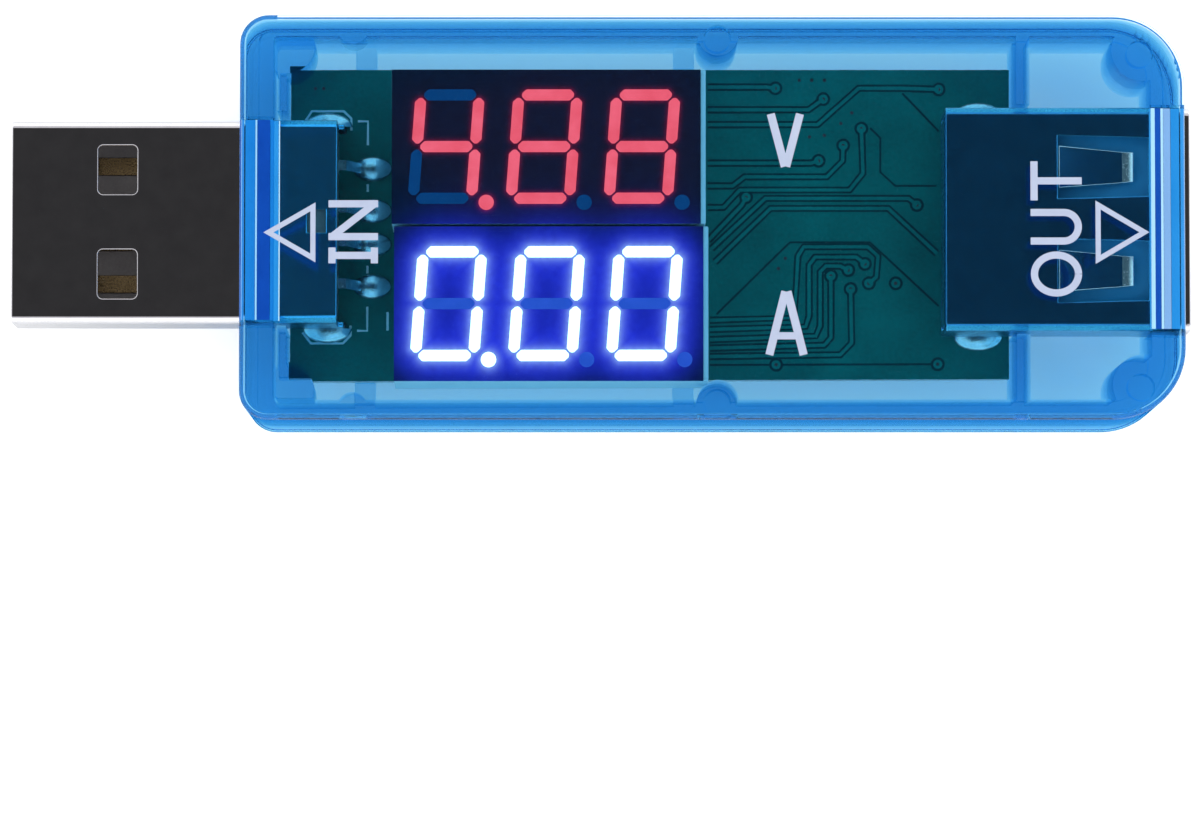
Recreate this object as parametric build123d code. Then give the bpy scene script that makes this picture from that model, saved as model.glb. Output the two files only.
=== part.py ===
from build123d import *
import math
import os

os.makedirs("parts", exist_ok=True)

# Lies on its back with the display up. X runs from plug (-) to port (+), Z up, millimetres.

# case
case_length = 55.4
case_width = 23.8
case_height = 12.0
case_wall = 1.2
end_wall = 1.95
face_thickness = 1.2
back_thickness = 1.2
plug_end_radius = 1.7
port_end_radius = 4.2
outer_round = 0.4
foot_round = 0.5  # around the underside
lip_height = 0.8
lip_clearance = 0.05
board_ledge_height = 1.8
mid_boss_radius = 1.2
mid_boss_inset = 1.15
mid_boss_past_display = 0.7
corner_boss_radius = 1.8
corner_boss_inset = (2.45, 2.05)
corner_boss_clearance = 0.25
pin_radius = 0.75
pin_length = 2.0
pin_clearance = 0.05
rib_thickness = 0.8
end_rib_thickness = 0.55
end_rib_reach = 9.0
opening_clearance = 0.1
port_floor_rail_width = 1.0

# plug, standard type A
plug_reach = 13.6
plug_depth = 5.65
plug_width = 12.0
plug_height = 4.5
shell_sheet = 0.3
shell_corner = 0.5
plug_window_inset = 5.1
plug_window_length = 2.3
plug_window_width = 2.9
plug_window_offset = 3.09
plug_tongue_height = 1.95
plug_tongue_length = 11.6
tongue_width = 11.1

# port, standard type A socket
port_length = 14.4
port_width = 13.2
port_height = 5.72
port_proud = 0.45
port_on_board = 4.05
port_tongue_base = 2.61
port_tongue_height = 1.84
port_block_length = 4.6
spring_offset = 3.07
spring_length = 4.45
spring_root_width = 2.5
spring_tip_width = 1.75
spring_dip = 0.5
spring_gap = 0.05
slot_root = 0.62
slot_tip = 0.95
slot_past_tip = 0.85

# contacts
inner_contact_offset = 1.0
outer_contact_offset = 3.5
contact_width = 1.0
contact_sheet = 0.2
lead_width = 0.6
lead_foot_length = 1.3
pad_lead_reach = 2.7

# board
board_thickness = 1.2
board_inset = 2.78
board_side_gap = 1.45
board_shift_y = 0.15
ledge_length = 1.2
ledge_overlap = 0.8
ledge_clearance = 0.2

# displays
display_length = 18.45
display_gap = 0.15
display_trim = 0.15
display_from_plug = 3.25
display_shift_y = -0.4
lower_display_shift_x = 0.15
display_face_gap = 0.5
mask_thickness = 0.1
mask_side_inset = 0.3
digit_count = 3
digit_pitch = 5.75
digit_shift = -0.27
digit_height_share = 0.745
digit_width = 4.1
segment_width = 0.68
segment_gap = 0.17
segment_blunt = 0.1
segment_depth = 0.7
segment_clearance = 0.01
digit_slant = 4.2
point_radius = 0.46
point_out = 2.35
point_rise = 0.1
display_pin_size = 0.5
display_pin_pitch = 2.54
display_pin_count = 5
display_pin_edge = 1.19
display_pin_seat = 1.0
pin_hole_clearance = 0.05
pin_tail = 0.8

# solder
solder_height = 0.55
leg_length = 2.0
leg_solder_reach = 0.45
leg_slot_clearance = 0.1

# chips under the board
chip_height = 1.4
controller_length = 10.0
controller_width = 3.7
amplifier_length = 4.9
amplifier_width = 3.9
shunt_length = 6.3
shunt_width = 3.2
shunt_height = 0.6
regulator_length = 2.9
regulator_width = 1.6
regulator_height = 1.1
capacitor_size = (1.6, 0.8, 0.8)
resistor_size = (1.6, 0.8, 0.45)

# places worked out from the sizes
overall_length = plug_reach + case_length + port_proud
tip_x = -overall_length / 2
case_left = tip_x + plug_reach
case_right = case_left + case_length
case_mid = (case_left + case_right) / 2
parting = case_height / 2
ceiling = case_height - face_thickness
inner_half_width = case_width / 2 - case_wall
board_bottom = back_thickness + board_ledge_height
board_top = board_bottom + board_thickness
plug_rear = case_left + plug_depth
port_mouth = case_right + port_proud
port_rear = port_mouth - port_length
board_left = case_left + board_inset
board_right = port_rear + port_on_board
board_half_width = inner_half_width - board_side_gap
plug_top = board_top + plug_height
port_top = board_top + port_height
display_depth = (2 * board_half_width - display_gap - display_trim) / 2
display_top = ceiling - display_face_gap
display_left = plug_rear + display_from_plug
display_mid = display_left + display_length / 2
display_off_y = (display_depth + display_gap) / 2
display_pin_row = display_depth / 2 - display_pin_edge
spring_root_x = port_mouth - 7.8
plug_leg_x = plug_rear - 0.65
port_leg_x = port_rear + 2.2
contact_rows = [-outer_contact_offset, -inner_contact_offset, inner_contact_offset, outer_contact_offset]


def block(x0, x1, y0, y1, z0, z1):
    box = Box(x1 - x0, y1 - y0, z1 - z0)
    return Pos((x0 + x1) / 2, (y0 + y1) / 2, (z0 + z1) / 2) * box


def post(x, y, radius, z0, z1):
    return Pos(x, y, (z0 + z1) / 2) * Cylinder(radius, z1 - z0)


def profile_along_y(points, y, width):
    face = make_face(Polyline(*[(px, 0, pz) for px, pz in points], close=True))
    return Pos(0, y + width / 2, 0) * extrude(face, width, dir=(0, -1, 0))


def case_outline(inset, end_inset):
    length = case_length - 2 * end_inset
    outline = Pos(case_mid, 0) * Rectangle(length, case_width - 2 * inset)
    plug_corners = outline.vertices().filter_by(lambda v: v.X < case_mid)
    port_corners = outline.vertices().filter_by(lambda v: v.X > case_mid)
    outline = fillet(plug_corners, max(plug_end_radius - end_inset, 0.3))
    port_corners = outline.vertices().filter_by(lambda v: v.X > case_right - end_inset - 0.01)
    return fillet(port_corners, max(port_end_radius - end_inset, 0.3))


def case_slab(share, z0, z1, extra=0):
    """Outline taken in by that share of the walls and by extra, from z0 up to z1."""
    outline = case_outline(share * case_wall + extra, share * end_wall + extra)
    return Pos(0, 0, z0) * extrude(outline, z1 - z0)


def openings():
    half_plug = plug_width / 2 + opening_clearance
    half_port = port_width / 2 + opening_clearance
    plug_hole = block(
        case_left - 1, case_left + end_wall + 1.05, -half_plug, half_plug,
        board_top - opening_clearance, plug_top + opening_clearance,
    )
    port_hole = block(
        case_right - end_wall - 0.4, case_right + 1, -half_port, half_port,
        board_top - opening_clearance, port_top + opening_clearance,
    )
    return plug_hole + port_hole


def boss_places():
    mid_y = case_width / 2 - mid_boss_inset
    mid_x = display_left + display_length + mid_boss_past_display
    corner_x = case_right - corner_boss_inset[0]
    clear_of_port = port_width / 2 + corner_boss_clearance + corner_boss_radius
    corner_y = max(case_width / 2 - corner_boss_inset[1], clear_of_port)
    bosses = []
    for side in (-1, 1):
        bosses.append((mid_x, side * mid_y, mid_boss_radius))
        bosses.append((corner_x, side * corner_y, corner_boss_radius))
    return bosses


def ribs(z0, z1):
    rib_x = board_right + 0.05
    edge = port_width / 2 + opening_clearance
    made = []
    for side in (-1, 1):
        y0, y1 = sorted((side * edge, side * (inner_half_width + 0.5)))
        made.append(block(rib_x, rib_x + rib_thickness, y0, y1, z0, z1))
    return made


def end_ribs(x0, z0, z1):
    made = []
    for side in (-1, 1):
        y0, y1 = sorted((side * (plug_width / 2 + 0.3), side * min(end_rib_reach, board_half_width)))
        made.append(block(board_left - 0.05 - end_rib_thickness, x0, y0, y1, z0, z1))
    return made


def back_shell():
    shell = case_slab(0, 0, parting)
    shell = fillet(shell.faces().sort_by(Axis.Z)[0].outer_wire().edges(), foot_round)
    shell -= case_slab(1, back_thickness, parting + 1)
    lip = case_slab(0.5, parting, parting + lip_height, lip_clearance)
    lip -= case_slab(1, parting - 1, parting + lip_height + 1)
    shell += lip
    core = case_slab(0.5, 0.2, case_height)
    for x, y, radius in boss_places():
        shell += post(x, y, radius, back_thickness, parting) & core
        shell += post(x, y, pin_radius, parting - 0.5, parting + pin_length)
    for rib in ribs(back_thickness, parting) + end_ribs(board_left + 0.4, back_thickness - 0.1, board_bottom):
        shell += rib
    half = ledge_length / 2
    past_leg = leg_length / 2 + leg_solder_reach + ledge_clearance + half
    mid_ledge = display_left + display_length - ledge_length
    for x in (plug_leg_x + past_leg, mid_ledge):
        for side in (-1, 1):
            wall_y = side * (inner_half_width + 0.2)
            edge_y = board_shift_y + side * board_half_width
            y0, y1 = sorted((edge_y - side * ledge_overlap, wall_y))
            shell += block(x - half, x + half, y0, y1, back_thickness - 0.1, board_bottom)
            y0, y1 = sorted((edge_y + side * opening_clearance, wall_y))
            shell += block(x - half, x + half, y0, y1, board_bottom - 0.1, board_top)
    for side in (-1, 1):
        y = side * (port_width / 2 - port_floor_rail_width)
        half = port_floor_rail_width / 2
        shell += block(
            board_right + 1.2, case_right - end_wall + 0.1, y - half, y + half,
            back_thickness - 0.1, board_top,
        )
    return shell - openings()


def front_shell():
    shell = case_slab(0, parting, case_height)
    shell = fillet(shell.faces().sort_by(Axis.Z)[-1].outer_wire().edges(), outer_round)
    shell -= case_slab(1, parting - 1, ceiling)
    core = case_slab(0.5, parting, ceiling + 0.2)
    for x, y, radius in boss_places():
        shell += post(x, y, radius, parting, ceiling + 0.1) & core
    for rib in ribs(parting, ceiling + 0.1) + end_ribs(board_left - 0.05, board_bottom + 0.05, ceiling + 0.1):
        shell += rib
    inner = case_slab(1, board_top, ceiling + 0.1, 0.1)
    for side in (-1, 1):
        hold_y = side * (inner_half_width - 0.6)
        shell += post(board_left, hold_y, 1.6, board_top + 0.05, ceiling + 0.1) & inner
        crush_y = side * (inner_half_width + 0.45)
        shell += post(board_left + 3.85, crush_y, 0.9, parting + lip_height + 0.1, ceiling + 0.1) & core
    groove = case_slab(0.5, parting - 1, parting + lip_height + lip_clearance)
    groove -= case_slab(1, parting - 2, case_height, lip_clearance)
    shell -= groove
    for x, y, radius in boss_places():
        shell -= post(x, y, pin_radius + pin_clearance, parting - 1, parting + pin_length + 0.2)
    return shell - openings()


def leg_places():
    plug_y = plug_width / 2 - shell_sheet / 2
    port_y = port_width / 2 - shell_sheet / 2
    return [
        (plug_leg_x, plug_y), (plug_leg_x, -plug_y),
        (port_leg_x, port_y), (port_leg_x, -port_y),
    ]


def display_centre(side):
    x = display_mid + (lower_display_shift_x if side < 0 else 0)
    return x, display_shift_y + side * display_off_y


def display_pin_places(side):
    places = []
    mid_x, mid_y = display_centre(side)
    first = -(display_pin_count - 1) / 2
    for row in (-1, 1):
        for i in range(display_pin_count):
            places.append((mid_x + (first + i) * display_pin_pitch, mid_y + row * display_pin_row))
    return places


def port_lead_x():
    return port_rear + 0.9


def board():
    low_y = board_shift_y - board_half_width
    high_y = board_shift_y + board_half_width
    plate = block(board_left, board_right, low_y, high_y, board_bottom, board_top)
    pin_hole = display_pin_size * math.sqrt(0.5) + pin_hole_clearance
    for x, y in display_pin_places(1) + display_pin_places(-1):
        plate -= post(x, y, pin_hole, board_bottom - 1, board_top + 1)
    for y in contact_rows:
        plate -= post(port_lead_x(), y, pin_hole, board_bottom - 1, board_top + 1)
    half_x = leg_length / 2 + leg_slot_clearance
    half_y = shell_sheet / 2 + leg_slot_clearance
    for x, y in leg_places():
        plate -= block(x - half_x, x + half_x, y - half_y, y + half_y, board_bottom - 1, board_top + 1)
    return plate


def shell_tube(x0, x1, width, height, base):
    outer = RectangleRounded(width, height, shell_corner)
    inner = RectangleRounded(width - 2 * shell_sheet, height - 2 * shell_sheet, shell_corner - shell_sheet)
    ring = Plane.YZ.offset(x0) * (outer - inner)
    return Pos(0, 0, base + height / 2) * extrude(ring, x1 - x0)


def leg(x, y, top):
    half = leg_length / 2
    return block(x - half, x + half, y - shell_sheet / 2, y + shell_sheet / 2, board_bottom - pin_tail, top)


def plug_shell():
    shell = shell_tube(tip_x, plug_rear, plug_width, plug_height, board_top)
    x0 = tip_x + plug_window_inset
    for side in (-1, 1):
        y = side * plug_window_offset
        window = block(
            x0, x0 + plug_window_length, y - plug_window_width / 2, y + plug_window_width / 2,
            board_top - 1, plug_top + 1,
        )
        shell -= fillet(window.edges().filter_by(Axis.Z), 0.3)
    shell -= block(plug_rear - 1.75, plug_rear - 0.65, -0.7, 0.7, plug_top - 1, plug_top + 1)
    for x, y in leg_places()[:2]:
        shell += leg(x, y, board_top + 1.5)
    return shell


def plug_insulator():
    x0 = tip_x + 0.5
    half = tongue_width / 2
    floor = board_top + shell_sheet
    tongue = block(x0, x0 + plug_tongue_length, -half, half, floor, floor + plug_tongue_height)
    tongue = fillet(tongue.edges().filter_by(Axis.Y).group_by(Axis.X)[0], 0.3)
    roof = plug_top - shell_sheet
    solid = tongue + block(x0 + plug_tongue_length - 0.1, plug_rear, -half, half, floor, roof)
    for y in contact_rows:
        solid -= plug_contact(y)
    return solid


def plug_contact(y):
    base = board_top + shell_sheet + plug_tongue_height - contact_sheet / 2
    top = base + contact_sheet
    blade = block(tip_x + 1.6, plug_rear - 4.5, y - contact_width / 2, y + contact_width / 2, base, top)
    knee = plug_rear + 0.5
    ankle = plug_rear + pad_lead_reach - lead_foot_length
    toe = plug_rear + pad_lead_reach
    foot = board_top + contact_sheet
    lead = profile_along_y(
        [
            (plug_rear - 4.6, base), (knee - 0.1, base), (ankle - 0.1, board_top), (toe, board_top),
            (toe, foot), (ankle, foot), (knee, top), (plug_rear - 4.6, top),
        ],
        y, lead_width,
    )
    return blade + lead


def plug_contacts():
    return Compound(children=[plug_contact(y).solid() for y in contact_rows])


def spring_outline(y, root_half, tip_half, x0, x1, z0, z1):
    points = [(x0, y - root_half), (x1, y - tip_half), (x1, y + tip_half), (x0, y + root_half)]
    face = make_face(Polyline(*points, close=True))
    return Pos(0, 0, z0) * extrude(face, z1 - z0)


def spring_windows():
    x1 = spring_root_x + spring_length + slot_past_tip
    cuts = []
    for side in (-1, 1):
        y = side * spring_offset
        root_half = spring_root_width / 2 + slot_root
        tip_half = spring_tip_width / 2 + slot_tip - 0.1
        for z0, z1 in ((board_top - 1, board_top + 1), (port_top - 1, port_top + 1)):
            cuts.append(spring_outline(y, root_half, tip_half, spring_root_x, x1, z0, z1))
    return cuts


def port_shell():
    shell = shell_tube(port_rear, port_mouth, port_width, port_height, board_top)
    for cut in spring_windows():
        shell -= cut
    half = spring_root_width / 2
    for side in (-1, 1):
        y = side * spring_offset
        for z0 in (board_top, port_top - shell_sheet):
            root = spring_root_x
            shell += block(root - 0.1, root, y - half, y + half, z0, z0 + shell_sheet)
    for x, y in leg_places()[2:]:
        shell += leg(x, y, board_top + 2)
    lead_gap = outer_contact_offset + 0.8
    shell -= block(port_rear - 1, port_rear + 1.6, -lead_gap, lead_gap, board_top - 1, board_top + 0.6)
    shell += block(
        port_rear - 0.01, port_rear + shell_sheet, -port_width / 2 + shell_corner, port_width / 2 - shell_corner,
        board_top + shell_sheet + 0.6, port_top - shell_sheet + 0.05,
    )
    return shell


def retention_spring(side, facing):
    """facing 1 sits in the top face and dips down, -1 sits in the bottom face."""
    x0 = spring_root_x + spring_gap
    x1 = spring_root_x + spring_length
    bend = x1 - 0.65
    outer = port_top if facing > 0 else board_top
    sheet = facing * shell_sheet
    dip = facing * spring_dip
    strip = profile_along_y(
        [
            (x0, outer), (bend, outer - dip), (x1, outer - dip / 2),
            (x1, outer - dip / 2 - sheet), (bend, outer - dip - sheet), (x0, outer - sheet),
        ],
        side * spring_offset, 2 * spring_root_width,
    )
    mask = spring_outline(
        side * spring_offset, spring_root_width / 2, spring_tip_width / 2, x0, x1,
        board_top - 2, port_top + 2,
    )
    return (strip & mask).solid()


def port_contact(y):
    top = board_top + shell_sheet + port_tongue_base
    base = top - contact_sheet
    tip = port_mouth - 1.6
    lead = port_lead_x()
    half = contact_sheet / 2
    strip = profile_along_y(
        [
            (lead - half, top), (tip, top), (tip, base), (tip - 0.9, base - 0.45),
            (tip - 1.2, base - 0.45), (tip - 3.6, base), (lead + half, base),
            (lead + half, board_bottom - pin_tail), (lead - half, board_bottom - pin_tail),
        ],
        y, lead_width,
    )
    return strip


def port_contacts():
    return Compound(children=[port_contact(y).solid() for y in contact_rows])


def port_insulator():
    half = tongue_width / 2
    floor = board_top + shell_sheet
    roof = port_top - shell_sheet
    x0 = port_rear + shell_sheet
    solid = block(x0, x0 + port_block_length, -half, half, floor, roof)
    base = floor + port_tongue_base
    tongue = block(x0 + 1, port_mouth - 0.9, -half, half, base, base + port_tongue_height)
    solid += fillet(tongue.edges().filter_by(Axis.Y).group_by(Axis.X)[-1], 0.3)
    for y in contact_rows:
        solid -= port_contact(y)
    return solid


def bar(along, length):
    """A segment outline with blunt pointed ends, centred on the origin."""
    end = length / 2 - segment_gap
    half = segment_width / 2
    flat = end - half + segment_blunt
    points = []
    for sx, sy in ((1, 1), (1, -1), (-1, -1), (-1, 1)):
        corner = [(sx * flat, sy * half), (sx * end, sy * segment_blunt)]
        points += corner if sx == sy else corner[::-1]
    if along == "y":
        points = [(py, px) for px, py in points]
    return points


def digit_outlines(side):
    """Segment outlines a to g and the point of every digit on one display."""
    height = digit_height_share * display_depth
    wide = digit_width - segment_width
    tall = (height - segment_width) / 2
    lean = math.tan(math.radians(digit_slant))
    mid_x, centre_y = display_centre(side)
    shapes = {
        "a": ("x", 0, tall), "b": ("y", wide / 2, tall / 2), "c": ("y", wide / 2, -tall / 2),
        "d": ("x", 0, -tall), "e": ("y", -wide / 2, -tall / 2), "f": ("y", -wide / 2, tall / 2),
        "g": ("x", 0, 0),
    }
    digits = []
    for i in range(digit_count):
        centre_x = mid_x + digit_shift + (i - (digit_count - 1) / 2) * digit_pitch
        outlines = {}
        for name, (along, sx, sy) in shapes.items():
            length = wide if along == "x" else tall
            points = [(centre_x + sx + px + (sy + py) * lean, centre_y + sy + py) for px, py in bar(along, length)]
            outlines[name] = points
        outlines["point"] = (centre_x + point_out, centre_y - height / 2 + point_rise)
        digits.append(outlines)
    return digits


def segment_solid(shape, z0, z1, grow):
    if isinstance(shape, tuple):
        return post(shape[0], shape[1], point_radius + grow, z0, z1)
    face = make_face(Polyline(*shape, close=True))
    if grow:
        face = offset(face, grow, kind=Kind.INTERSECTION)
    return Pos(0, 0, z0) * extrude(face, z1 - z0)


# which parts of each digit are lit: a reading of 4.88 above, 0.00 below
upper_reading = [("b", "c", "f", "g", "point"), tuple("abcdefg"), tuple("abcdefg")]
lower_reading = [("a", "b", "c", "d", "e", "f", "point"), tuple("abcdef"), tuple("abcdef")]


def segments(side, reading, lit):
    solids = []
    for outlines, on in zip(digit_outlines(side), reading):
        for name, shape in outlines.items():
            if (name in on) == lit:
                made = segment_solid(shape, display_top - segment_depth, display_top, -segment_clearance)
                solids.append(made.solid())
    return Compound(children=solids)


def segment_pockets(side):
    cuts = []
    for outlines in digit_outlines(side):
        for shape in outlines.values():
            cuts.append(segment_solid(shape, display_top - segment_depth, display_top + 1, 0))
    return cuts


def display_block(side, z0, z1, trim=0):
    x, y = display_centre(side)
    half = display_depth / 2
    return block(x - display_length / 2, x + display_length / 2 - trim, y - half, y + half, z0, z1)


def display_housing(side):
    body = display_block(side, board_top, display_top - mask_thickness)
    body = body.cut(*segment_pockets(side))
    holes = []
    half = display_pin_size / 2
    for x, y in display_pin_places(side):
        holes.append(block(x - half, x + half, y - half, y + half, board_top - 1, board_top + display_pin_seat))
    return body.cut(*holes)


def display_mask(side):
    film = display_block(side, display_top - mask_thickness, display_top, mask_side_inset)
    return film.cut(*segment_pockets(side))


def display_pins(side):
    half = display_pin_size / 2
    low = board_bottom - pin_tail
    high = board_top + display_pin_seat
    pins = [block(x - half, x + half, y - half, y + half, low, high) for x, y in display_pin_places(side)]
    return Compound(children=[pin.solid() for pin in pins])


def dome(x, y, z, radius_x, radius_y, height, up):
    """Solder: a low squashed dome standing on a board face."""
    ball = scale(Sphere(1), (radius_x, radius_y, height))
    cut = block(-9, 9, -9, 9, 0, 9) if up else block(-9, 9, -9, 9, -9, 0)
    return Pos(x, y, z) * (ball & cut)


def lead_solder():
    made = []
    for y in contact_rows:
        x = plug_rear + pad_lead_reach - 0.7
        blob = dome(x, y, board_top, 1.15, 0.75, solder_height, True) - plug_contact(y)
        made.append(blob.solid())
    return Compound(children=made)


def leg_solder():
    made = []
    for x, y in leg_places():
        sheet = leg(x, y, board_top + 2)
        reach = leg_length / 2 + leg_solder_reach
        blob = dome(x, y, board_bottom, reach, 0.8, solder_height, False) - sheet
        made.append(blob.solid())
        out = math.copysign(1, y)
        face = y + out * shell_sheet / 2
        top = dome(x, face, board_top, reach, 0.85, solder_height, True)
        y0, y1 = sorted((face, face + out * 2))
        made.append((top & block(x - 5, x + 5, y0, y1, 0, 20)).solid())
    return Compound(children=made)


def pin_solder():
    made = []
    half = display_pin_size / 2
    for x, y in display_pin_places(1) + display_pin_places(-1):
        pin = block(x - half, x + half, y - half, y + half, board_bottom - 2, board_bottom + 1)
        made.append((dome(x, y, board_bottom, 0.75, 0.75, solder_height, False) - pin).solid())
    for y in contact_rows:
        blob = dome(port_lead_x(), y, board_bottom, 0.8, 0.8, solder_height, False)
        made.append((blob - port_contact(y)).solid())
    return Compound(children=made)


def chip(x, y, length, width, legs, pitch, reach):
    """A moulded package hung under the board with gull legs on both long sides."""
    top = board_bottom - 0.1
    body = block(x - length / 2, x + length / 2, y - width / 2, y + width / 2, board_bottom - chip_height, top)
    body = chamfer(body.faces().sort_by(Axis.Z)[0].edges(), 0.15)
    mid = board_bottom - chip_height / 2
    for side in (-1, 1):
        for i in range(legs):
            lx = x + (i - (legs - 1) / 2) * pitch
            near = side * (width / 2 - 0.2)
            bend = side * (width / 2 + reach / 2)
            far = side * (width / 2 + reach)
            y0, y1 = sorted((y + near, y + bend))
            body += block(lx - 0.2, lx + 0.2, y0, y1, mid - 0.1, mid + 0.1)
            y0, y1 = sorted((y + bend - side * 0.2, y + bend))
            body += block(lx - 0.2, lx + 0.2, y0, y1, mid - 0.1, board_bottom)
            y0, y1 = sorted((y + bend - side * 0.2, y + far))
            body += block(lx - 0.2, lx + 0.2, y0, y1, board_bottom - 0.2, board_bottom)
    return body


def under_board(x, y, size, turned):
    long, short, tall = size
    if turned:
        long, short = short, long
    return block(x - long / 2, x + long / 2, y - short / 2, y + short / 2, board_bottom - tall, board_bottom)


def chip_rows(size, places):
    return Compound(children=[under_board(x, y, size, turned).solid() for x, y, turned in places])


def main():
    right_bay = display_left + display_length + 0.5
    bay_mid = (right_bay + port_rear) / 2
    lower_y = display_centre(-1)[1]
    parts = {
        "front_shell": front_shell(),
        "back_shell": back_shell(),
        "circuit_board": board(),
        "voltage_display_housing": display_housing(1),
        "voltage_display_mask": display_mask(1),
        "voltage_lit_segments": segments(1, upper_reading, True),
        "voltage_dark_segments": segments(1, upper_reading, False),
        "voltage_display_pins": display_pins(1),
        "current_display_housing": display_housing(-1),
        "current_display_mask": display_mask(-1),
        "current_lit_segments": segments(-1, lower_reading, True),
        "current_dark_segments": segments(-1, lower_reading, False),
        "current_display_pins": display_pins(-1),
        "plug_shell": plug_shell(),
        "plug_insulator": plug_insulator(),
        "plug_contacts": plug_contacts(),
        "port_shell": port_shell(),
        "port_insulator": port_insulator(),
        "port_contacts": port_contacts(),
        "port_spring_top_a": retention_spring(1, 1),
        "port_spring_top_b": retention_spring(-1, 1),
        "port_spring_bottom_a": retention_spring(1, -1),
        "port_spring_bottom_b": retention_spring(-1, -1),
        "lead_solder": lead_solder(),
        "leg_solder": leg_solder(),
        "pin_solder": pin_solder(),
        "controller_chip": chip(bay_mid, -4.4, controller_length, controller_width, 8, 1.27, 0.55),
        "amplifier_chip": chip(bay_mid - 3.4, 3.9, amplifier_length, amplifier_width, 4, 1.27, 0.9),
        "shunt_resistor": under_board(bay_mid + 2.8, 5.2, (shunt_length, shunt_width, shunt_height), False),
        "voltage_regulator": chip(bay_mid + 1.6, 1.3, regulator_length, regulator_width, 3, 0.95, 0.6),
        "chip_capacitors": chip_rows(
            capacitor_size,
            [
                (bay_mid + 4.4, -0.7, True), (bay_mid + 4.4, 1.7, True),
                (bay_mid - 1.5, -0.6, False), (display_mid, display_shift_y, False),
            ],
        ),
        "chip_resistors": chip_rows(
            resistor_size,
            [(display_mid + (i - 3) * 2.2, lower_y, True) for i in range(7)],
        ),
    }
    for name, shape in parts.items():
        export_step(shape, f"parts/{name}.step")


main()
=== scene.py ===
import math

import bmesh
import bpy
import numpy as np
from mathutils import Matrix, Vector


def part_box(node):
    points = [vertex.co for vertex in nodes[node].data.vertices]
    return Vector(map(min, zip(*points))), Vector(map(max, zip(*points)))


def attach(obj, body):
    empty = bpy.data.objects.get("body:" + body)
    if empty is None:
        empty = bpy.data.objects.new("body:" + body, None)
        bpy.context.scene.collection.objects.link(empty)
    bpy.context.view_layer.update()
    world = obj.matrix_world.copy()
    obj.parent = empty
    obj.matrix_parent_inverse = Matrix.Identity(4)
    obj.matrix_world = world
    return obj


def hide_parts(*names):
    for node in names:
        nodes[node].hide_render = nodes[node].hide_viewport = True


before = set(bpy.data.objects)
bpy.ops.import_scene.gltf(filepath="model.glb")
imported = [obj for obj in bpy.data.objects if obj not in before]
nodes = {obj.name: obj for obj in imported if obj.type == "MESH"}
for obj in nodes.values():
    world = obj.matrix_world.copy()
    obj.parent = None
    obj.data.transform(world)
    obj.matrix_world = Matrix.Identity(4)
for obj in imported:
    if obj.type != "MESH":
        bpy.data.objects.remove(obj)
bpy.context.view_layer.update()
springs = [name for name in nodes if name.startswith("port_spring")]
mm = 0.001
mergeGap = 0.001 * mm
print("frame loaded:", len(nodes), "nodes")

lowBoard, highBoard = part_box("circuit_board")
lowFront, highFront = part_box("front_shell")
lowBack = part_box("back_shell")[0]
lowPlug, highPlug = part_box("plug_shell")
lowPort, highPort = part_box("port_shell")


# small helpers

def deselect():
    if bpy.context.object and bpy.context.object.mode != "OBJECT":
        bpy.ops.object.mode_set(mode="OBJECT")
    bpy.ops.object.select_all(action="DESELECT")


def makeActive(piece):
    deselect()
    piece.select_set(True)
    bpy.context.view_layer.objects.active = piece


def editPiece(piece, mode="FACE"):
    makeActive(piece)
    bpy.ops.object.mode_set(mode="EDIT")
    bpy.ops.mesh.select_mode(type=mode)
    bpy.ops.mesh.select_all(action="DESELECT")


def leaveEdit():
    bpy.ops.object.mode_set(mode="OBJECT")


def pickFaces(piece, wanted):
    # opens the piece in edit mode with only the wanted faces selected
    editPiece(piece)
    leaveEdit()
    for face in piece.data.polygons:
        face.select = wanted(face)
    bpy.ops.object.mode_set(mode="EDIT")


def pickCorners(piece, wanted):
    editPiece(piece, "VERT")
    leaveEdit()
    for vertex in piece.data.vertices:
        vertex.select = wanted(vertex.co)
    bpy.ops.object.mode_set(mode="EDIT")


def nameLast(name):
    piece = bpy.context.object
    piece.name = name
    piece.data.name = name
    return piece


def applyPlace(piece):
    makeActive(piece)
    bpy.ops.object.transform_apply(location=True, rotation=True, scale=True)


def joinPieces(pieces, name):
    deselect()
    for piece in pieces:
        piece.select_set(True)
    bpy.context.view_layer.objects.active = pieces[0]
    if len(pieces) > 1:
        bpy.ops.object.join()
    return nameLast(name)


def applyModifier(piece, kind, **values):
    makeActive(piece)
    made = piece.modifiers.new(kind.title(), kind)
    for key, value in values.items():
        setattr(made, key, value)
    bpy.ops.object.modifier_apply(modifier=made.name)


def softenEdges(piece, width, segments=2, angle=30):
    # rounds the sharp edges and keeps the flat faces shaded flat
    applyModifier(
        piece, "BEVEL", width=width, segments=segments, limit_method="ANGLE",
        angle_limit=math.radians(angle), use_clamp_overlap=False,
    )
    makeActive(piece)
    bpy.ops.object.shade_smooth()
    applyModifier(piece, "WEIGHTED_NORMAL", mode="FACE_AREA", weight=100, keep_sharp=False)


def shadeSmooth(piece, angle=35):
    makeActive(piece)
    bpy.ops.object.shade_smooth_by_angle(angle=math.radians(angle))


def copyNode(node, name):
    # a merged copy of a CAD node's mesh, free of its own shading
    piece = nodes[node].copy()
    piece.data = nodes[node].data.copy()
    piece.parent = None
    for key in list(piece.keys()):
        del piece[key]
    bpy.context.scene.collection.objects.link(piece)
    piece.name = name
    piece.data.name = name
    piece.data.materials.clear()
    makeActive(piece)
    bpy.ops.mesh.customdata_custom_splitnormals_clear()
    editPiece(piece)
    bpy.ops.mesh.select_all(action="SELECT")
    bpy.ops.mesh.remove_doubles(threshold=mergeGap)
    bpy.ops.mesh.dissolve_limited(angle_limit=math.radians(0.5))
    leaveEdit()
    return piece


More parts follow.
